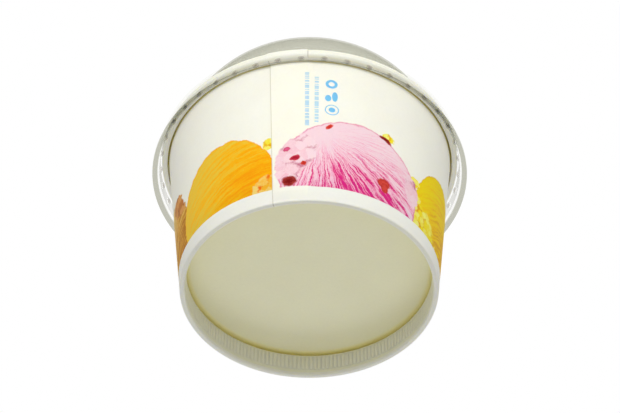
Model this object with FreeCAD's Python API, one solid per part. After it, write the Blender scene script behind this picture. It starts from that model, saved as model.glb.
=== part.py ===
"""A small paper ice cream cup with its clear plastic dome lid pressed on.

Three pieces, all turned about the Z axis, which stands up through the middle of the cup:
  cup_wall    side sheet, lapped and glued up one side, hemmed under at the foot, curled over at the rim
  cup_bottom  round board with a turned-down skirt, held in the foot's hem
  lid         thin clear dome: groove inside the mouth, ring over the rim, skirt with snap nubs, flared lip
Origin: middle of the foot, on the surface that the cup stands on. Sizes are in millimetres.
"""
import FreeCAD
import Part
import math
import os

# Paper
BOARD = 0.35          # coated board, one sheet
CUP_HEIGHT = 45.4     # foot to the top of the rolled rim
BASE_RADIUS = 30.4    # printed face of the wall, carried down to the foot
WALL_LEAN = 6.1       # degrees that the wall leans out
FOLD_RADIUS = 0.4     # printed face, at the hem's two bends
HEM_HEIGHT = 6.3      # how far the folded end comes back up
POCKET_PLAY = 0.06    # between the bottom's skirt and the sheets on each side of it
BOTTOM_RECESS = 7.1   # foot to the underside of the round board
SKIRT_BEND = 0.8      # outside of the bottom's bend
SKIRT_END = 0.8       # height of the skirt's cut edge

# Rolled rim, sizes of the hollow that the curl leaves
CURL_WIDTH = 1.25
CURL_DROP = 2.2
CURL_ROUND = 0.47     # rounding of its three corners, as a share of its width
CURL_SLIT = 0.2       # between the curl's cut edge and the wall where it is lapped

# Lapped side seam, angles from the front (-Y) towards +X, in degrees
SEAM_OUTER_EDGE = -15.7
SEAM_INNER_EDGE = -0.8
SEAM_RAMP = 2.6       # the turn over which a lapped sheet settles back
SEAM_STEP = 0.25      # how far the second sheet stands out on the wall
SEAM_RIM_STEP = 0.15  # and on the rim, where the curl presses it
SEAM_ROOT = 0.08      # how deep the lap is set into the sheet under it
SEAM_FOOT = 0.6       # the lap stops this high, so that the cup stands level
SEAM_FADE = 2.4       # the height over which it thins to nothing there

# Lid
FILM = 0.35           # formed plastic film
RIM_PLAY = 0.1        # between the film and the thickest part of the rim
PLUG_PLAY = 0.2       # between the groove and the mouth of the cup
PLUG_DEPTH = 2.2      # how far the groove reaches below the rim's top
GROOVE_WIDTH = 0.8
GROOVE_RADIUS = 0.36
RING_RADIUS = 1.5     # rounding of the ring's outer corner
RING_BEND = 0.4       # rounding where the ring turns down into the groove
DOME_RISE = 24.6      # rim's top to the dome's top
DOME_SHOULDER = 25.4  # rounding from the dome's side to its flat top
LIP_RADIUS = 39.05
LIP_DROP = 6.65       # rim's top to the lip's edge
LIP_RISE = 0.6
LIP_BEND = 0.4
SKIRT_DRAFT = 0.22    # how much wider the skirt is at its foot
NUB_COUNT = 42
NUB_FIRST = -3.3      # degrees from the front
NUB_DROP = 3.9        # rim's top to the nubs' middles
NUB_RADIUS = 1.0
JOIN_TOLERANCE = 0.001    # how near two faces count as one where the nubs are joined to the skirt

lean = math.tan(math.radians(WALL_LEAN))
board_across = BOARD / math.cos(math.radians(WALL_LEAN))


def wall_radius(z):
    """Radius of the wall's printed face at height z."""
    return BASE_RADIUS + lean * z


def point(r, z):
    return FreeCAD.Vector(r, 0, z)


def shifted(corners, shift):
    """The same bent line, moved shift to its left: each corner is (r, z, bend radius)."""
    legs = []
    for (r0, z0, _), (r1, z1, _) in zip(corners, corners[1:]):
        length = math.hypot(r1 - r0, z1 - z0)
        legs.append(((r1 - r0) / length, (z1 - z0) / length))
    moved = []
    for i, (r, z, bend) in enumerate(corners):
        before = legs[max(i - 1, 0)]
        after = legs[min(i, len(legs) - 1)]
        turn = before[0] * after[1] - before[1] * after[0]
        share = shift / (1 + before[0] * after[0] + before[1] * after[1])
        new_bend = bend - math.copysign(shift, turn) if bend else 0
        moved.append((r - (before[1] + after[1]) * share, z + (before[0] + after[0]) * share, new_bend))
    return moved


def leg(start, end):
    """A straight edge, or none where two bends meet."""
    return [Part.LineSegment(start, end).toShape()] if start.distanceToPoint(end) > 1e-6 else []


def bent_line(corners):
    """Straight legs joined by tangent arcs, as a list of edges."""
    edges = []
    here = point(*corners[0][:2])
    for i in range(1, len(corners) - 1):
        corner = point(*corners[i][:2])
        back = (point(*corners[i - 1][:2]) - corner).normalize()
        on = (point(*corners[i + 1][:2]) - corner).normalize()
        half = back.getAngle(on) / 2
        bend = corners[i][2]
        start = corner + back * (bend / math.tan(half))
        end = corner + on * (bend / math.tan(half))
        middle = corner + (back + on).normalize() * (bend / math.sin(half) - bend)
        edges += leg(here, start)
        edges.append(Part.Arc(start, middle, end).toShape())
        here = end
    return edges + leg(here, point(*corners[-1][:2]))


def band(corners, near, far):
    """Closed outline between two shifts of one bent line."""
    one = shifted(corners, near)
    other = shifted(corners, far)
    end = leg(point(*one[-1][:2]), point(*other[-1][:2]))
    start = leg(point(*other[0][:2]), point(*one[0][:2]))
    return Part.Wire(bent_line(one) + end + bent_line(other)[::-1] + start)


def turned(outline, start=0.0, sweep=360.0):
    """An outline in the XZ plane turned about the cup's axis. Angles run from the front."""
    solid = Part.Face(outline).revolve(FreeCAD.Vector(), FreeCAD.Vector(0, 0, 1), sweep)
    solid.rotate(FreeCAD.Vector(), FreeCAD.Vector(0, 0, 1), start - 90)
    return solid


def ramp(thick, thin, start, end):
    """The lapped sheet settling back, from one outline at start to a thinner one at end."""
    ends = []
    for outline, angle in ((thick, start), (thin, end)):
        placed = outline.copy()
        placed.rotate(FreeCAD.Vector(), FreeCAD.Vector(0, 0, 1), angle - 90)
        ends.append(placed)
    return Part.makeLoft(ends, True, True)


def wall_path():
    """Printed face of the side sheet: down the hem, out round the foot, up the wall and over the rim."""
    hem_radius = BASE_RADIUS - 3 * BOARD - 2 * POCKET_PLAY
    curl_top = CUP_HEIGHT - BOARD
    curl_start = wall_radius(curl_top)
    curl_foot = curl_top - CURL_DROP
    curl_radius = CURL_WIDTH * CURL_ROUND
    return [
        (hem_radius, HEM_HEIGHT, 0),
        (hem_radius, 0, FOLD_RADIUS),
        (BASE_RADIUS, 0, FOLD_RADIUS),
        (curl_start, curl_top, curl_radius),
        (curl_start + CURL_WIDTH, curl_top, curl_radius),
        (curl_start + CURL_WIDTH, curl_foot, curl_radius),
        (wall_radius(curl_foot) + SEAM_STEP + CURL_SLIT, curl_foot, 0),
    ]


def lapped_layer(step, top):
    """Outline of the second layer up the wall, standing out by step and thinned to nothing at its foot."""
    corners = [
        (-SEAM_ROOT, SEAM_FOOT),
        (-SEAM_ROOT / 2, SEAM_FOOT),
        (step, SEAM_FOOT + SEAM_FADE),
        (step, top),
        (-SEAM_ROOT, top),
    ]
    points = [point(wall_radius(z) + out, z) for out, z in corners]
    return Part.makePolygon(points + points[:1])


def seam():
    """The second layer where the side sheet laps itself, on the wall and round the rim."""
    path = wall_path()
    (cut_edge, curl_foot, _), mouth = path[-1], path[3][1] - path[3][2]
    on_rim = [(wall_radius(mouth), mouth, 0)] + path[3:6] + [(cut_edge + SEAM_ROOT, curl_foot, 0)]
    width = SEAM_INNER_EDGE - SEAM_OUTER_EDGE

    wall_thick = lapped_layer(SEAM_STEP, curl_foot)
    wall_thin = lapped_layer(-SEAM_ROOT / 2, curl_foot)
    rim_root = BOARD - SEAM_ROOT
    rim_thick = band(on_rim, rim_root, BOARD + SEAM_RIM_STEP)
    rim_thin = band(on_rim, rim_root, rim_root + SEAM_ROOT / 2)
    return [
        turned(wall_thick, SEAM_OUTER_EDGE, width),
        ramp(wall_thick, wall_thin, SEAM_INNER_EDGE, SEAM_INNER_EDGE + SEAM_RAMP),
        turned(rim_thick, SEAM_OUTER_EDGE, width),
        ramp(rim_thick, rim_thin, SEAM_OUTER_EDGE, SEAM_OUTER_EDGE - SEAM_RAMP),
    ]


def cup_wall():
    sheet = turned(band(wall_path(), 0, BOARD))
    return sheet.fuse(seam())


def cup_bottom():
    """Round board whose skirt leans with the wall, between the wall and its hem."""
    inset = board_across + POCKET_PLAY
    top = BOTTOM_RECESS + BOARD
    path = [
        (wall_radius(SKIRT_END) - inset, SKIRT_END, 0),
        (wall_radius(top) - inset, top, SKIRT_BEND),
        (0, top, 0),
    ]
    return turned(band(path, 0, BOARD))


def lid():
    """Formed film, drawn as its outer face from the lip's edge up over the ring to the top of the dome."""
    rim_outside = wall_radius(CUP_HEIGHT - BOARD) + CURL_WIDTH + BOARD + SEAM_RIM_STEP
    ring = rim_outside + RIM_PLAY + FILM
    ring_top = CUP_HEIGHT + SEAM_RIM_STEP + RIM_PLAY + FILM
    groove_foot = CUP_HEIGHT - PLUG_DEPTH
    groove_outside = wall_radius(groove_foot) - board_across - PLUG_PLAY - FILM
    dome = groove_outside - GROOVE_WIDTH
    dome_top = CUP_HEIGHT + DOME_RISE
    lip_edge = CUP_HEIGHT - LIP_DROP
    skirt_foot = ring + SKIRT_DRAFT
    path = [
        (LIP_RADIUS, lip_edge, 0),
        (skirt_foot, lip_edge + LIP_RISE, LIP_BEND),
        (ring, ring_top, RING_RADIUS),
        (groove_outside, ring_top, RING_BEND),
        (groove_outside, groove_foot, GROOVE_RADIUS),
        (dome, groove_foot, GROOVE_RADIUS),
        (dome, dome_top, DOME_SHOULDER),
        (0, dome_top, 0),
    ]
    shell = turned(band(path, 0, FILM))

    nub_z = CUP_HEIGHT - NUB_DROP
    skirt_slope = (ring_top - nub_z) / (ring_top - lip_edge - LIP_RISE)
    skirt_face = ring + SKIRT_DRAFT * skirt_slope
    base = math.degrees(math.asin(FILM / 2 / NUB_RADIUS))
    bumps, dimples = [], []
    for i in range(NUB_COUNT):
        angle = math.radians(NUB_FIRST + 360 * i / NUB_COUNT)
        outward = FreeCAD.Vector(math.sin(angle), -math.cos(angle), 0)
        middle = outward * skirt_face + FreeCAD.Vector(0, 0, nub_z)
        bumps.append(Part.makeSphere(NUB_RADIUS, middle, -outward, base, 90))
        dimples.append(Part.makeSphere(NUB_RADIUS - FILM, middle, -outward))
    return shell.fuse(bumps, JOIN_TOLERANCE).cut(dimples)


os.makedirs("parts", exist_ok=True)
for name, make in (("cup_wall", cup_wall), ("cup_bottom", cup_bottom), ("lid", lid)):
    solid = make()
    if solid.ShapeType == "Compound" and len(solid.Solids) == 1:
        solid = solid.Solids[0]
    solid.exportStep("parts/" + name + ".step")
    box = solid.BoundBox
    print(name, solid.ShapeType, len(solid.Solids), solid.isValid(), round(solid.Volume, 1), "mm3,",
          round(box.XLength, 2), round(box.YLength, 2), round(box.ZMin, 3), round(box.ZMax, 2))
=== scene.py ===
"""A small paper ice cream cup with its clear dome lid on, seen from below its foot."""
import math

import bpy
from mathutils import Matrix, Vector


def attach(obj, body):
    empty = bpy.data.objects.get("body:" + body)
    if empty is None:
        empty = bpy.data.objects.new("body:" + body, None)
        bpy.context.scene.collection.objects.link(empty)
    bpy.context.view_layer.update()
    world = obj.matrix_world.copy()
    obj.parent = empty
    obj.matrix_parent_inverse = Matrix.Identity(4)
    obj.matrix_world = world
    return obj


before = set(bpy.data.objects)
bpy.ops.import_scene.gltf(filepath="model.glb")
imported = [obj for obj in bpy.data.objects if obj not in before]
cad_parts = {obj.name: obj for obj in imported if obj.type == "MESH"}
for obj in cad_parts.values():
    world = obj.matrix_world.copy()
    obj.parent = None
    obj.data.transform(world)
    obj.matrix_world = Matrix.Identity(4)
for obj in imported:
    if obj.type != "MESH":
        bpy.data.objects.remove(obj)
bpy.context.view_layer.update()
scene = bpy.context.scene


# ---------------------------------------------------------------------------------------------------------
# Side sheet. A blank of bleached paperboard, clay coated and offset printed on its outer face only. It is
# wrapped round a mandrel, lapped and heat sealed up the front, hemmed in under the foot and curled over
# at the rim, where its bare, creamier reverse face comes outside.
# ---------------------------------------------------------------------------------------------------------
MM = 0.001
FOOT_RADIUS = 30.4                      # printed face of the wall at the foot, mm
WALL_LEAN = math.tan(math.radians(6.1))
PRINT_RADIUS = 31.9                     # the wall's radius half way up the pictures, mm
FOLD_TOP = 0.9                          # the sheet turns under the foot below this height, mm
PRINT_FOOT = 4.2                        # where the printed pictures stop above the foot, mm
CUP_FLOOR = (7.2, 7.6)                  # heights between which bare board gives way to the lined inside, mm
CURL_FOOT = 42.6                        # where the curl's edge hangs down to, mm
CURL_SHADE_TOP = 44.9                   # how far up the painted crease shade in the hollow under the curl reaches, mm
CURL_HOLLOW = (0.4, 2.0)                # how far out from the wall that painted shade starts to fade and ends, mm
SEAM_EDGE = -15.7                       # outer edge of the lap, degrees from the front
LAP_INSIDE = -0.8                       # inner edge of the lap, which the curl brings outside, degrees
CUT_EDGE_HALF = 0.11                    # half the width of the board's cut edge as it shows, mm
COATED_FACE = "FAF7E8"
REVERSE_FACE = "F6F3D6"
LINED_FACE = "FBFAF0"                   # the faces that hold the ice cream, lined with polythene
# The curl's bare reverse face, with painted light: lighter and whiter than the reverse face elsewhere
CURL_PAINTED_LIGHT = "FFFFF4"
CUT_EDGE = "D2CCB2"
PAINTED_WARM_CREASE_SHADE = "FFF0AC"                 # painted warm shade in the creases: the yellow of light bounced between the board's faces


def srgb(code):
    """An sRGB hex colour as the linear colour that shaders take."""
    channels = [int(code[i:i + 2], 16) / 255 for i in (0, 2, 4)]
    return [c / 12.92 if c <= 0.04045 else ((c + 0.055) / 1.055) ** 2.4 for c in channels] + [1]


def add(tree, kind, inputs=None, out=0, **settings):
    """Adds a shader node, sets it, sets or links its inputs, and returns one of its outputs."""
    made = tree.nodes.new("ShaderNode" + kind)
    for name, value in settings.items():
        setattr(made, name, value)
    for name, value in (inputs or {}).items():
        if isinstance(value, bpy.types.NodeSocket):
            tree.links.new(value, made.inputs[name])
        else:
            made.inputs[name].default_value = value
    return made.outputs[out] if made.outputs else None


def new_material(name):
    """An empty material and its node tree."""
    made = bpy.data.materials.new(name)
    made.use_nodes = True
    made.node_tree.nodes.clear()
    return made, made.node_tree


def round_the_wall(degrees):
    """Millimetres round the wall from the front, for an angle."""
    return math.radians(degrees) * PRINT_RADIUS


def paper_grain(tree, place):
    """Shade and relief of the board's fibres, drawn at 0.7 mm, coarser than real so that they show."""
    fibres = add(tree, "TexNoise", {"Vector": place, "Scale": 1 / 0.7, "Detail": 3.0, "Roughness": 0.6})
    clouds = add(tree, "TexNoise", {"Vector": place, "Scale": 1 / 9.0, "Detail": 2.0})
    both = add(tree, "Math", {0: fibres, 1: clouds}, operation="ADD")
    shade = add(tree, "MapRange", {"Value": both, "From Min": 0.6, "From Max": 1.4, "To Min": 0.955,
                                   "To Max": 1.0})
    normal = add(tree, "Bump", {"Height": fibres, "Strength": 0.25, "Distance": 0.02 * MM})
    return shade, normal


# Clay coating gives a smooth, faintly creamy white with a dull sheen. A little light sinks into the board
# and comes out nearby, which warms the creases; their warm shade is also painted in, below.
paper, tree = new_material("clay_coated_paperboard_offset_printed")
place = add(tree, "TexCoord", out=3)
place = add(tree, "VectorMath", {0: place, 1: (1 / MM,) * 3}, operation="MULTIPLY")
across, depth, height = [add(tree, "SeparateXYZ", {0: place}, out=axis) for axis in range(3)]
toward_front = add(tree, "Math", {0: depth, 1: -1.0}, operation="MULTIPLY")
angle = add(tree, "Math", {0: across, 1: toward_front}, operation="ARCTAN2")
round_mm = add(tree, "Math", {0: angle, 1: PRINT_RADIUS}, operation="MULTIPLY")
flat = add(tree, "CombineXYZ", {0: round_mm, 1: height})
level = add(tree, "VectorMath", {0: place, 1: (1, 1, 0)}, operation="MULTIPLY")
from_axis = add(tree, "VectorMath", {0: level}, operation="LENGTH", out=1)

# The edge of a printed picture strays up to half of RAGGED, as the outline of something crumbly does
RAGGED = 1.7                            # mm
wander = add(tree, "TexNoise", {"Vector": place, "Scale": 1 / 3.0, "Detail": 5.0, "Roughness": 0.65}, out=1)
wander = add(tree, "VectorMath", {0: wander, 1: (0.5, 0.5, 0.5)}, operation="SUBTRACT")
wander = add(tree, "VectorMath", {0: wander, 1: (RAGGED, RAGGED, 0)}, operation="MULTIPLY")
ragged = add(tree, "VectorMath", {0: flat, 1: wander})
speckle = add(tree, "TexNoise", {"Vector": place, "Scale": 1 / 0.5, "Detail": 2.0, "Roughness": 0.7})
left_of_seam = add(tree, "Math", {0: round_mm, 1: round_the_wall(SEAM_EDGE)}, operation="LESS_THAN")
right_of_seam = add(tree, "Math", {0: 1.0, 1: left_of_seam}, operation="SUBTRACT")


def printed_oval(where, middle, half_width, half_height, lean=0.0):
    """Where a point lies in an oval, and how far out: 0 in its middle and 1 at its edge.

    The middle is in degrees from the front and mm above the foot, and the sizes are in mm.
    """
    ball = add(tree, "Mapping", {"Vector": where, "Location": (round_the_wall(middle[0]), middle[1], 0),
                                 "Rotation": (0, 0, math.radians(lean)),
                                 "Scale": (half_width, half_height, 1)}, vector_type="TEXTURE")
    return ball, add(tree, "VectorMath", {0: ball}, operation="LENGTH", out=1)


def scoop(under, middle, half_width, half_height, inks, low_spot, spread, marks_from, arcs, side):
    """Prints a ball of ice cream: deep ink round its low spot, paling away from it, with the server's marks.

    low_spot is in half widths and half heights from the middle. spread holds how far from it the main ink
    lies, how far from there to the pale or the deep one, and how much a mark shifts the ink. The marks run
    round marks_from where arcs is true and away from it where it isn't. side is 1 on the side of the seam
    that takes the ink.
    """
    ball, out = printed_oval(ragged, middle, half_width, half_height)
    share = add(tree, "MapRange", {"Value": out, "From Min": 0.985, "From Max": 1.0, "To Min": 1.0,
                                   "To Max": 0.0})
    share = add(tree, "Math", {0: share, 1: side}, operation="MULTIPLY")

    marks_a_radian, marks_a_mm = (3.0, 1.25) if arcs else (30.0, 0.12)
    centre = (round_the_wall(marks_from[0]), marks_from[1], 0)
    from_centre = add(tree, "VectorMath", {0: ragged, 1: centre}, operation="SUBTRACT")
    far = add(tree, "VectorMath", {0: from_centre}, operation="LENGTH", out=1)
    x, y = [add(tree, "SeparateXYZ", {0: from_centre}, out=axis) for axis in range(2)]
    bearing = add(tree, "Math", {0: y, 1: x}, operation="ARCTAN2")
    along = add(tree, "Math", {0: bearing, 1: marks_a_radian}, operation="MULTIPLY")
    away = add(tree, "Math", {0: far, 1: marks_a_mm}, operation="MULTIPLY")
    marks = add(tree, "CombineXYZ", {0: along, 1: away})
    marks = add(tree, "TexNoise", {"Vector": marks, "Scale": 1.0, "Detail": 4.0, "Roughness": 0.65,
                                   "Distortion": 0.4})

    tone = add(tree, "VectorMath", {0: ball, 1: (*low_spot, 0)}, operation="DISTANCE", out=1)
    tone = add(tree, "Math", {0: tone, 1: 1.0 / spread[1], 2: -spread[0] / spread[1]},
               operation="MULTIPLY_ADD")
    ridge = add(tree, "MapRange", {"Value": marks, "From Min": 0.36, "From Max": 0.64, "To Min": -spread[2],
                                   "To Max": spread[2]}, interpolation_type="SMOOTHSTEP")
    ridge = add(tree, "Math", {0: ridge, 1: add(tree, "MapRange", {"Value": far, "From Max": 7.0})},
                operation="MULTIPLY")
    grit = add(tree, "Math", {0: speckle, 1: 1.3, 2: -0.65}, operation="MULTIPLY_ADD")
    tone = add(tree, "Math", {0: tone, 1: ridge}, operation="ADD")
    tone = add(tree, "Math", {0: tone, 1: grit}, operation="ADD")
    pale, main, deep = [srgb(code) for code in inks]
    lighter = add(tree, "MapRange", {"Value": tone, "From Min": 0.0, "From Max": 1.0})
    deeper = add(tree, "MapRange", {"Value": tone, "From Min": 0.0, "From Max": -1.0})
    edge = add(tree, "MapRange", {"Value": out, "From Min": 0.965, "From Max": 0.985, "To Max": 0.6})
    ink = add(tree, "Mix", {0: lighter, 6: main, 7: pale}, out=2, data_type="RGBA")
    ink = add(tree, "Mix", {0: deeper, 6: ink, 7: deep}, out=2, data_type="RGBA")
    ink = add(tree, "Mix", {0: edge, 6: ink, 7: deep}, out=2, data_type="RGBA")
    return add(tree, "Mix", {0: share, 6: under, 7: ink}, out=2, data_type="RGBA")


def lump(under, middle, half_width, half_height, lean, inks, side):
    """Prints a piece of a berry: one ink in its middle and another at its edge, mottled into each other."""
    ball, out = printed_oval(ragged, middle, half_width, half_height, lean)
    share = add(tree, "MapRange", {"Value": out, "From Min": 0.85, "From Max": 1.1, "To Min": 1.0,
                                   "To Max": 0.0})
    share = add(tree, "Math", {0: share, 1: side}, operation="MULTIPLY")
    mottle = add(tree, "Math", {0: speckle, 1: 1.6, 2: -0.8}, operation="MULTIPLY_ADD")
    rim = add(tree, "Math", {0: out, 1: mottle}, operation="ADD")
    rim = add(tree, "MapRange", {"Value": rim, "From Min": 0.3, "From Max": 1.2})
    ink = add(tree, "Mix", {0: rim, 6: srgb(inks[0]), 7: srgb(inks[1])}, out=2, data_type="RGBA")
    return add(tree, "Mix", {0: share, 6: under, 7: ink}, out=2, data_type="RGBA")


def crumbs(under, middle, half_width, half_height, lean, size, inks, side):
    """Prints a patch of broken ice cream: crumbs of two inks, size mm across, and a third in their gaps."""
    ball, out = printed_oval(ragged, middle, half_width, half_height, lean)
    cells = {"Vector": ragged, "Scale": 1 / size}
    gap = add(tree, "TexVoronoi", {**cells, "Smoothness": 0.4}, voronoi_dimensions="2D", feature="SMOOTH_F1")
    kind = add(tree, "SeparateXYZ", {0: add(tree, "TexVoronoi", cells, out=1, voronoi_dimensions="2D")})
    strayed = add(tree, "Math", {0: kind, 1: 0.35, 2: out}, operation="MULTIPLY_ADD")
    share = add(tree, "MapRange", {"Value": strayed, "From Min": 1.1, "From Max": 1.2, "To Min": 1.0,
                                   "To Max": 0.0})
    share = add(tree, "Math", {0: share, 1: side}, operation="MULTIPLY")
    mixed = add(tree, "Math", {0: kind, 1: speckle}, operation="ADD")
    mixed = add(tree, "MapRange", {"Value": mixed, "From Min": 0.6, "From Max": 1.4})
    creased = add(tree, "Math", {0: speckle, 1: 0.5, 2: gap}, operation="MULTIPLY_ADD")
    creased = add(tree, "MapRange", {"Value": creased, "From Min": 0.8, "From Max": 1.1})
    ink = add(tree, "Mix", {0: mixed, 6: srgb(inks[0]), 7: srgb(inks[1])}, out=2, data_type="RGBA")
    ink = add(tree, "Mix", {0: creased, 6: ink, 7: srgb(inks[2])}, out=2, data_type="RGBA")
    return add(tree, "Mix", {0: share, 6: under, 7: ink}, out=2, data_type="RGBA")


# Inks of the balls (pale, main, deep), of the berries (middle, edge) and of the crumbs (two, and their gaps)
ORANGE_ICE = ("F2C83C", "FFB808", "FFA000")
PINK_ICE = ("F7D6DE", "F4B2C8", "DC2680")
YELLOW_ICE = ("F4D600", "F4C400", "DE9E00")
BROWN_ICE = ("E8C87C", "DEA838", "B87414")
RED_BERRY = ("C83024", "E2604E")
DARK_BERRY = ("80100E", "B8443E")
STRAWBERRY = ("D4483C", "B42C24")
PINK_BERRY = ("E0608C", "C03C5C")
RASPBERRY = ("B01830", "D84860")
YELLOW_CRUMBS = ("FCF27A", "F6DC18", "E2A400")
ORANGE_CRUMBS = ("FAD87C", "FAB42C", "F2700C")
PINK_CRUMBS = ("F8DAE0", "F2C0CC", "CC7890")
BROWN_CRUMBS = ("DC9C50", "C0742C", "8A4416")
blank = srgb(COATED_FACE)
picture = scoop(blank, (121, 9), 14.0, 15.0, ORANGE_ICE, (0.5, -0.2), (0.9, 0.7, 0.5), (150, -22), True,
                right_of_seam)
picture = scoop(picture, (-143, 9), 15.0, 16.0, YELLOW_ICE, (0.1, -0.4), (0.6, 0.8, 0.6), (-120, -14), True,
                left_of_seam)
picture = crumbs(picture, (-130, 6), 6.0, 3.0, 10, 1.3, YELLOW_CRUMBS, left_of_seam)
picture = scoop(picture, (-88, 8), 14.5, 15.6, BROWN_ICE, (0.7, -0.2), (0.8, 0.7, 0.8), (-60, -8), True,
                left_of_seam)
picture = crumbs(picture, (-73.5, 19.0), 4.8, 2.8, -38, 2.2, BROWN_CRUMBS, left_of_seam)
picture = crumbs(picture, (-17.0, 18.2), 1.3, 1.9, 0, 1.3, YELLOW_CRUMBS, left_of_seam)
picture = scoop(picture, (-40.5, 8), 15.0, 15.5, ORANGE_ICE, (0.75, -0.3), (0.85, 0.7, 0.7), (-14, -26), True,
                left_of_seam)
picture = crumbs(picture, (-18.5, 6.2), 3.6, 2.6, 36, 1.7, ORANGE_CRUMBS, left_of_seam)
picture = scoop(picture, (75, 11), 13.6, 15.2, YELLOW_ICE, (0.3, -0.3), (0.6, 0.8, 0.7), (95, -14), True,
                right_of_seam)
picture = crumbs(picture, (55, 7.2), 8.4, 4.4, -20, 1.4, YELLOW_CRUMBS, right_of_seam)
picture = crumbs(picture, (49.5, 16), 1.8, 1.6, 20, 1.2, YELLOW_CRUMBS, right_of_seam)
picture = crumbs(picture, (34, 23.8), 1.7, 1.2, -25, 1.2, YELLOW_CRUMBS, right_of_seam)
picture = scoop(picture, (19, 8.5), 18.1, 16.2, PINK_ICE, (0.08, -0.6), (0.85, 0.42, 1.0), (5, 20), False,
                right_of_seam)
picture = crumbs(picture, (-6.5, 12.8), 4.2, 6.6, -24, 2.6, PINK_CRUMBS, right_of_seam)
picture = crumbs(picture, (-12.4, 10.6), 1.5, 1.3, 0, 2.0, PINK_CRUMBS, right_of_seam)
picture = crumbs(picture, (48.2, 12.5), 2.3, 3.8, 12, 3.0, PINK_CRUMBS, right_of_seam)
picture = scoop(picture, (152, 8), 14.4, 15.0, PINK_ICE, (0.1, -0.6), (0.8, 0.42, 1.0), (146, 20), False,
                right_of_seam)
for degrees, mm, long, short, lean, inks in (
        (8, 22.3, 1.2, 0.6, 42, RED_BERRY), (32.5, 23.0, 1.8, 0.6, -24, DARK_BERRY),
        (32.8, 9.7, 1.8, 1.3, 0, STRAWBERRY), (33.4, 8.4, 1.0, 1.4, 0, STRAWBERRY),
        (-9.5, 15.4, 0.9, 0.6, 25, PINK_BERRY), (-6, 12.6, 1.3, 0.75, 10, RASPBERRY),
        (-2.6, 11, 0.5, 0.7, 20, RED_BERRY), (-8.6, 5.8, 1.7, 1.5, -15, DARK_BERRY),
        (143, 15, 1.2, 0.8, 30, RED_BERRY), (160, 11, 1.6, 1.3, -20, RED_BERRY),
        (150, 20.4, 1.2, 0.6, 10, DARK_BERRY)):
    picture = lump(picture, (degrees, mm), long, short, lean, inks, right_of_seam)

# Small print: two rows of plain dashes, 0.9 mm wide, and plain rounds in pale blue, beside the seam
SMALL_PRINT = srgb("7CC4EC")
DASH_HALF = 0.45                        # half the width of a row, mm
DASH_INK = 0.6                          # the dashes are paler than the rounds
dashes = add(tree, "TexNoise", {"W": height, "Scale": 1 / 0.5, "Detail": 0.0}, noise_dimensions="1D")
dashes = add(tree, "Math", {0: dashes, 1: 0.42}, operation="GREATER_THAN")
for degrees, low, high in ((-1.1, 22.3, 39.0), (2.7, 23.6, 38.0)):
    ball, out = printed_oval(flat, (degrees, (low + high) / 2), DASH_HALF, (high - low) / 2)
    aside = add(tree, "Math", {0: add(tree, "SeparateXYZ", {0: ball}, out=0)}, operation="ABSOLUTE")
    upward = add(tree, "Math", {0: add(tree, "SeparateXYZ", {0: ball}, out=1)}, operation="ABSOLUTE")
    beyond = add(tree, "Math", {0: aside, 1: upward}, operation="MAXIMUM")
    share = add(tree, "Math", {0: beyond, 1: 1.0}, operation="LESS_THAN")
    share = add(tree, "Math", {0: share, 1: dashes}, operation="MULTIPLY")
    share = add(tree, "Math", {0: share, 1: DASH_INK}, operation="MULTIPLY")
    picture = add(tree, "Mix", {0: share, 6: picture, 7: SMALL_PRINT}, out=2, data_type="RGBA")
for degrees, mm, half_width, half_height, hole in (
        (8.6, 35.8, 1.35, 1.35, 0.5), (7.3, 31.3, 0.7, 1.0, 0), (10, 31.9, 0.65, 1.5, 0),
        (8.9, 27.7, 1.6, 1.6, 0.86), (8.9, 27.7, 0.75, 0.75, 0)):
    ball, out = printed_oval(flat, (degrees, mm), half_width, half_height)
    share = add(tree, "Math", {0: out, 1: (1 + hole) / 2, 2: (1 - hole) / 2}, operation="COMPARE")
    picture = add(tree, "Mix", {0: share, 6: picture, 7: SMALL_PRINT}, out=2, data_type="RGBA")

# The faces of the sheet: coated and printed outside and under the fold, lined inside, bare in hem and curl
inked_area = add(tree, "Math", {0: height, 1: PRINT_FOOT}, operation="GREATER_THAN")
face = add(tree, "Mix", {0: inked_area, 6: blank, 7: picture}, out=2, data_type="RGBA")
printed_radius = add(tree, "Math", {0: height, 1: WALL_LEAN, 2: FOOT_RADIUS - 0.2}, operation="MULTIPLY_ADD")
outer = add(tree, "Math", {0: from_axis, 1: printed_radius}, operation="GREATER_THAN")
below_rim = add(tree, "Math", {0: height, 1: CURL_FOOT}, operation="LESS_THAN")
coated = add(tree, "Math", {0: outer, 1: below_rim}, operation="MULTIPLY")
under_foot = add(tree, "Math", {0: height, 1: FOLD_TOP}, operation="LESS_THAN")
coated = add(tree, "Math", {0: coated, 1: under_foot}, operation="MAXIMUM")
in_cup = add(tree, "MapRange", {"Value": height, "From Min": CUP_FLOOR[0], "From Max": CUP_FLOOR[1]})
# Painted light on the curl: its bare face is blended towards a lighter, whiter colour than the reverse face
painted_curl_light = add(tree, "MapRange", {"Value": height, "From Min": CURL_FOOT - 0.4, "From Max": CURL_FOOT + 0.6})
colour = add(tree, "Mix", {0: in_cup, 6: srgb(REVERSE_FACE), 7: srgb(LINED_FACE)}, out=2, data_type="RGBA")
colour = add(tree, "Mix", {0: painted_curl_light, 6: colour, 7: srgb(CURL_PAINTED_LIGHT)}, out=2, data_type="RGBA")
colour = add(tree, "Mix", {0: coated, 6: colour, 7: face}, out=2, data_type="RGBA")

# Painted shade: the hollow under the curl is painted a warm crease yellow, strongest near the wall
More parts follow.
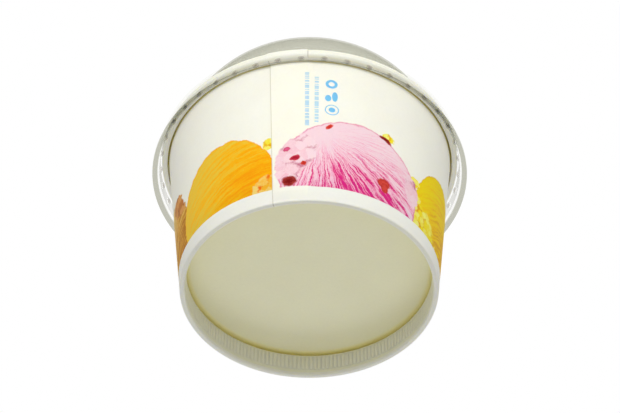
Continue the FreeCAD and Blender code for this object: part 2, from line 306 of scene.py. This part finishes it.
past_wall = add(tree, "Math", {0: from_axis, 1: printed_radius}, operation="SUBTRACT")
outside = add(tree, "Math", {0: past_wall, 1: 0.08}, operation="GREATER_THAN")
above_lip = add(tree, "Math", {0: height, 1: CURL_FOOT}, operation="GREATER_THAN")
below_top = add(tree, "Math", {0: height, 1: CURL_SHADE_TOP}, operation="LESS_THAN")
painted_curl_shade = add(tree, "MapRange", {"Value": past_wall, "From Min": CURL_HOLLOW[0], "From Max": CURL_HOLLOW[1],
                                   "To Min": 1.0, "To Max": 0.15})
for bound in (outside, above_lip, below_top):
    painted_curl_shade = add(tree, "Math", {0: painted_curl_shade, 1: bound}, operation="MULTIPLY")
colour = add(tree, "Mix", {0: painted_curl_shade, 6: colour, 7: srgb(PAINTED_WARM_CREASE_SHADE)}, out=2, data_type="RGBA")
lap_edge = add(tree, "Mix", {0: above_lip, 2: round_the_wall(SEAM_EDGE), 3: round_the_wall(LAP_INSIDE)})
cut_edge = add(tree, "Math", {0: round_mm, 1: lap_edge, 2: CUT_EDGE_HALF}, operation="COMPARE")
cut_edge = add(tree, "Math", {0: cut_edge, 1: 0.75}, operation="MULTIPLY")
colour = add(tree, "Mix", {0: cut_edge, 6: colour, 7: srgb(CUT_EDGE)}, out=2, data_type="RGBA")
shade, normal = paper_grain(tree, place)
shades = add(tree, "CombineXYZ", {0: shade, 1: shade, 2: shade})
colour = add(tree, "Mix", {0: 1.0, 6: colour, 7: shades}, out=2, data_type="RGBA", blend_type="MULTIPLY")
board = add(tree, "BsdfPrincipled", {"Base Color": colour, "Roughness": 0.6, "Normal": normal,
                                     "Specular IOR Level": 0.08, "Subsurface Weight": 0.6,
                                     "Subsurface Radius": (1.0, 0.9, 0.6), "Subsurface Scale": 0.7 * MM})
add(tree, "OutputMaterial", {"Surface": board})
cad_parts["cup_wall"].data.materials[0] = paper


# ---------------------------------------------------------------------------------------------------------
# Bottom. A round of unprinted board with its edge turned down, gripped in the hem of the side sheet. Bare
# board is creamier and duller than the coated face. Its upper face is lined with polythene and holds the ice
# cream.
# ---------------------------------------------------------------------------------------------------------
PRESSED_FROM = 29.0                     # the turned-down edge, pressed flat, lies outside this radius, mm
BEND = (28.0, 29.2)                     # radii over which the board bends down, mm
BEND_FOOT = 6.4                         # and the height that the bend starts from, mm
LINED_FROM = 7.25                       # between the round's two faces, mm
PRESSED_BOARD = "F8F4D8"
bare_board, tree = new_material("uncoated_paperboard")
place = add(tree, "TexCoord", out=3)
place = add(tree, "VectorMath", {0: place, 1: (1 / MM,) * 3}, operation="MULTIPLY")
shade, normal = paper_grain(tree, place)
shades = add(tree, "CombineXYZ", {0: shade, 1: shade, 2: shade})
level = add(tree, "VectorMath", {0: place, 1: (1, 1, 0)}, operation="MULTIPLY")
from_axis = add(tree, "VectorMath", {0: level}, operation="LENGTH", out=1)
pressed = add(tree, "Math", {0: from_axis, 1: PRESSED_FROM}, operation="GREATER_THAN")
height = add(tree, "SeparateXYZ", {0: place}, out=2)
# Painted shade: the bend is painted the warm yellow of a shaded crease
painted_bend_shade = add(tree, "MapRange", {"Value": from_axis, "From Min": BEND[0], "From Max": BEND[1]})
raised = add(tree, "Math", {0: height, 1: BEND_FOOT}, operation="GREATER_THAN")
painted_bend_shade = add(tree, "Math", {0: painted_bend_shade, 1: raised}, operation="MULTIPLY")
in_cup = add(tree, "Math", {0: height, 1: LINED_FROM}, operation="GREATER_THAN")
colour = add(tree, "Mix", {0: pressed, 6: srgb(REVERSE_FACE), 7: srgb(PRESSED_BOARD)}, out=2,
             data_type="RGBA")
colour = add(tree, "Mix", {0: painted_bend_shade, 6: colour, 7: srgb(PAINTED_WARM_CREASE_SHADE)}, out=2, data_type="RGBA")
colour = add(tree, "Mix", {0: in_cup, 6: colour, 7: srgb(LINED_FACE)}, out=2, data_type="RGBA")
colour = add(tree, "Mix", {0: 1.0, 6: colour, 7: shades}, out=2, data_type="RGBA", blend_type="MULTIPLY")
board = add(tree, "BsdfPrincipled", {"Base Color": colour, "Roughness": 0.7, "Normal": normal,
                                     "Specular IOR Level": 0.08, "Subsurface Weight": 0.6,
                                     "Subsurface Radius": (1.0, 0.9, 0.6), "Subsurface Scale": 0.7 * MM})
add(tree, "OutputMaterial", {"Surface": board})
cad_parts["cup_bottom"].data.materials[0] = bare_board


# ---------------------------------------------------------------------------------------------------------
# Knurl. The band of fine upright ribs that the expanding wheel presses into the hem from inside the foot,
# which locks the bottom in. It is the board itself, so it has the board's finish.
# ---------------------------------------------------------------------------------------------------------
HEM_INSIDE = 29.23                      # bare face of the hem, mm
RIB_COUNT = 184                         # one rib a millimetre
RIB_RISE = 0.22                         # mm
RIB_SINK = 0.05                         # how deep the band is set into the hem, mm
# The band's height above the foot in mm, and the share of its relief there
KNURL_LEVELS = [(1.6, 0.0), (2.0, 0.7), (2.4, 1.0), (5.4, 1.0), (5.8, 0.7), (6.1, 0.0)]
STEPS = 6                               # mesh steps a rib
ring_points = RIB_COUNT * STEPS
corners, faces = [], []
for z, swell in KNURL_LEVELS:
    for i in range(ring_points):
        turn = 2 * math.pi * i / ring_points
        rib = 0.5 - 0.5 * math.cos(2 * math.pi * i / STEPS)
        radius = HEM_INSIDE + RIB_SINK - swell * (RIB_SINK + RIB_RISE * rib)
        corners.append((radius * math.sin(turn) * MM, -radius * math.cos(turn) * MM, z * MM))
for z in (KNURL_LEVELS[-1][0], KNURL_LEVELS[0][0]):
    for i in range(ring_points):
        turn = 2 * math.pi * i / ring_points
        radius = HEM_INSIDE + 2 * RIB_SINK
        corners.append((radius * math.sin(turn) * MM, -radius * math.cos(turn) * MM, z * MM))
rings = len(KNURL_LEVELS) + 2
for j in range(rings):
    for i in range(ring_points):
        k, up = (i + 1) % ring_points, (j + 1) % rings
        faces.append((j * ring_points + i, up * ring_points + i, up * ring_points + k, j * ring_points + k))
knurl_mesh = bpy.data.meshes.new("foot_knurl")
knurl_mesh.from_pydata(corners, [], faces)
knurl_mesh.polygons.foreach_set("use_smooth", [True] * len(faces))
knurl_mesh.materials.append(bare_board)
knurl = bpy.data.objects.new("foot_knurl", knurl_mesh)
scene.collection.objects.link(knurl)
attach(knurl, "root")


# ---------------------------------------------------------------------------------------------------------
# Lid. Clear PET film, 0.35 mm, thermoformed in one piece over a polished mould and pressed over the rim
# until its nubs snap under the curl.
# ---------------------------------------------------------------------------------------------------------
NUBS_WITHIN = 37.05                     # below the ring, only the nubs come nearer the axis than this, mm
SKIRT_WITHIN = 37.35                    # and only they and the skirt's inner face come nearer than this, mm
RING_FOOT = 43.0                        # where the skirt ends and the ring over the rim begins, mm up
LIP_BEND = (39.5, 39.8)                 # heights over which the lip turns up into the skirt, mm
LIP_FROM = (37.6, 37.8)                 # radii over which the lip's tint sets in, mm
LIP_EDGE = 38.98                        # its trimmed edge lies outside this radius, mm
DOME_FOOT = (46.2, 48.0)                # heights over which the dome's tint sets in, mm
CLEAR_FILM = "FFFFFE"
# Painted greys, standing in for the darker room that the film mirrors and bends into view
SKIRT_PAINTED_GREY = "C4C4BF"
LIP_PAINTED_GREY = "DFDFD8"
NUB_PAINTED_GREY = "E8E4E2"
DOME_FACING, DOME_GRAZED = "FBFBF8", "E8E8E2"
# Smooth and glossy, and too thin to bend light much, so it is drawn as a sheet. Each face that is looked
# through greys what is behind it: the skirt's inner face and the dome most where grazed, the lip and the nubs
# where seen more face on. These greys are painted shade, standing in for the darker room that a real film
# mirrors and bends into view.
film, tree = new_material("clear_thermoformed_pet_film")
place = add(tree, "TexCoord", out=3)
height = add(tree, "Math", {0: add(tree, "SeparateXYZ", {0: place}, out=2), 1: 1 / MM}, operation="MULTIPLY")
level = add(tree, "VectorMath", {0: place, 1: (1 / MM, 1 / MM, 0)}, operation="MULTIPLY")
from_axis = add(tree, "VectorMath", {0: level}, operation="LENGTH", out=1)
facing = add(tree, "LayerWeight", {"Blend": 0.5}, out=1)
under_ring = add(tree, "Math", {0: height, 1: RING_FOOT}, operation="LESS_THAN")
above_bend = add(tree, "MapRange", {"Value": height, "From Min": LIP_BEND[0], "From Max": LIP_BEND[1]})

on_nub = add(tree, "Math", {0: from_axis, 1: NUBS_WITHIN}, operation="LESS_THAN")
on_nub = add(tree, "Math", {0: on_nub, 1: under_ring}, operation="MULTIPLY")
off_nub = add(tree, "Math", {0: 1.0, 1: on_nub}, operation="SUBTRACT")
grazed = add(tree, "Math", {0: facing, 1: 8.0}, operation="POWER")
for bound in (off_nub, above_bend):
    grazed = add(tree, "Math", {0: grazed, 1: bound}, operation="MULTIPLY")

in_skirt = add(tree, "Math", {0: from_axis, 1: SKIRT_WITHIN}, operation="LESS_THAN")
turned_away = add(tree, "Math", {0: facing, 1: 2.5}, operation="POWER")
for bound in (above_bend, under_ring, turned_away):
    in_skirt = add(tree, "Math", {0: in_skirt, 1: bound}, operation="MULTIPLY")
painted_grey = add(tree, "Mix", {0: in_skirt, 6: srgb(CLEAR_FILM), 7: srgb(SKIRT_PAINTED_GREY)}, out=2, data_type="RGBA")

in_lip = add(tree, "MapRange", {"Value": from_axis, "From Min": LIP_FROM[0], "From Max": LIP_FROM[1]})
face_on = add(tree, "MapRange", {"Value": facing, "From Min": 0.53, "From Max": 0.44})
inside_edge = add(tree, "Math", {0: from_axis, 1: LIP_EDGE}, operation="LESS_THAN")
for bound in (face_on, inside_edge):
    in_lip = add(tree, "Math", {0: in_lip, 1: bound}, operation="MULTIPLY")
painted_grey = add(tree, "Mix", {0: in_lip, 6: painted_grey, 7: srgb(LIP_PAINTED_GREY)}, out=2, data_type="RGBA")

nub_shade = add(tree, "MapRange", {"Value": facing, "From Min": 0.3, "From Max": 0.5, "To Min": 1.0,
                                   "To Max": 0.0})
nub_shade = add(tree, "Math", {0: nub_shade, 1: on_nub}, operation="MULTIPLY")
painted_grey = add(tree, "Mix", {0: nub_shade, 6: painted_grey, 7: srgb(NUB_PAINTED_GREY)}, out=2, data_type="RGBA")

in_dome = add(tree, "MapRange", {"Value": height, "From Min": DOME_FOOT[0], "From Max": DOME_FOOT[1]})
dome_painted_grey = add(tree, "Mix", {0: facing, 6: srgb(DOME_FACING), 7: srgb(DOME_GRAZED)}, out=2, data_type="RGBA")
painted_grey = add(tree, "Mix", {0: in_dome, 6: painted_grey, 7: dome_painted_grey}, out=2, data_type="RGBA")

# The gloss mirrors 3% face on and up to 28% where grazed, in a grey that paints a dimmer reflection than
# the white room gives; lamp light falls through almost unweakened
through = add(tree, "BsdfTransparent", {0: painted_grey})
gloss = add(tree, "BsdfAnisotropic", {"Color": srgb("D6D6CF"), "Roughness": 0.04})
mirrored = add(tree, "Math", {0: grazed, 1: 0.25, 2: 0.03}, operation="MULTIPLY_ADD")
shader = add(tree, "MixShader", {0: mirrored, 1: through, 2: gloss})
lamp_light = add(tree, "BsdfTransparent", {0: srgb("FEFEFE")})
lit_through = add(tree, "LightPath", out=1)
for kind_of_ray in (2, 3):
    lit_through = add(tree, "Math", {0: lit_through, 1: add(tree, "LightPath", out=kind_of_ray)},
                      operation="MAXIMUM")
shader = add(tree, "MixShader", {0: lit_through, 1: shader, 2: lamp_light})
add(tree, "OutputMaterial", {"Surface": shader})
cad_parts["lid"].data.materials[0] = film


# ---------------------------------------------------------------------------------------------------------
# Studio. A pale sheet to stand on, seen from above only, and a white room that camera, gloss and clear
# film all see.
# ---------------------------------------------------------------------------------------------------------
FLOOR_HALF = 1.5                        # m
FLOOR_DROP = 0.0003                     # keeps the floor clear of the foot, m
floor_mesh = bpy.data.meshes.new("floor")
floor_mesh.from_pydata([(-FLOOR_HALF, -FLOOR_HALF, 0), (FLOOR_HALF, -FLOOR_HALF, 0),
                        (FLOOR_HALF, FLOOR_HALF, 0), (-FLOOR_HALF, FLOOR_HALF, 0)], [], [(0, 1, 2, 3)])
floor = bpy.data.objects.new("floor", floor_mesh)
floor.location.z = -FLOOR_DROP
scene.collection.objects.link(floor)


def looked_at(tree):
    """1 for a ray from the camera, off gloss or through clear film, and 0 for one that carries lamp light."""
    camera_or_gloss = add(tree, "Math", {0: add(tree, "LightPath", out=0), 1: add(tree, "LightPath", out=3)},
                          operation="MAXIMUM")
    return add(tree, "Math", {0: camera_or_gloss, 1: add(tree, "LightPath", out=6)}, operation="MAXIMUM")


sheet, tree = new_material("pale_paper_floor")
white = add(tree, "BsdfDiffuse", {"Color": srgb("F6F6F4")})
gone = add(tree, "BsdfTransparent")
from_below = add(tree, "NewGeometry", out=6)
from_above = add(tree, "Math", {0: 1.0, 1: from_below}, operation="SUBTRACT")
solid = add(tree, "Math", {0: looked_at(tree), 1: from_above}, operation="MULTIPLY")
add(tree, "OutputMaterial", {"Surface": add(tree, "MixShader", {0: solid, 1: gone, 2: white})})
floor_mesh.materials.append(sheet)

FROM_BELOW, FROM_ABOVE = 0.49, 0.65     # light of the room, brighter towards its ceiling
world = bpy.data.worlds.new("studio")
scene.world = world
world.use_nodes = True
tree = world.node_tree
tree.nodes.clear()
upward = add(tree, "SeparateXYZ", {0: add(tree, "TexCoord", out=0)}, out=2)
room = add(tree, "MapRange", {"Value": upward, "From Min": -1.0, "To Min": FROM_BELOW, "To Max": FROM_ABOVE})
lit = add(tree, "Background", {"Color": (1, 1, 1, 1), "Strength": room})
backdrop = add(tree, "Background", {"Color": (1, 1, 1, 1), "Strength": 1.0})
add(tree, "OutputWorld", {"Surface": add(tree, "MixShader", {0: looked_at(tree), 1: lit, 2: backdrop})})


def softbox(name, place_mm, aim_mm, size_mm, watts):
    """A round soft light, aimed; it isn't mirrored in the film."""
    data = bpy.data.lights.new(name, "AREA")
    data.shape = "DISK"
    data.size = size_mm * MM
    data.energy = watts
    made = bpy.data.objects.new(name, data)
    made.location = Vector(place_mm) * MM
    made.rotation_mode = "QUATERNION"
    made.rotation_quaternion = (Vector(aim_mm) - Vector(place_mm)).to_track_quat("-Z", "Y")
    made.visible_glossy = False
    made.visible_transmission = False
    scene.collection.objects.link(made)


softbox("key", (0, -700, 250), (0, 0, 25), 500, 3.15)
softbox("under", (0, 600, -400), (0, 0, 0), 400, 1.0)

# The camera looks up along +Y from below the foot
LOOK_UP = math.radians(45.59)
TILT = math.radians(0.21)
DISTANCE = 506.25
AIM = Vector((0.12, 0.0, 29.16))
camera = bpy.data.objects.new("camera", bpy.data.cameras.new("camera"))
camera.data.sensor_width = 36.0
camera.data.lens = 120.1
camera.data.clip_start = 0.01
toward = Vector((0, math.cos(LOOK_UP), math.sin(LOOK_UP)))
turn = Matrix.Rotation(math.pi / 2 + LOOK_UP, 4, "X") @ Matrix.Rotation(TILT, 4, "Z")
camera.matrix_world = Matrix.Translation((AIM - DISTANCE * toward) * MM) @ turn
scene.collection.objects.link(camera)
scene.camera = camera
scene.view_settings.view_transform = "Standard"
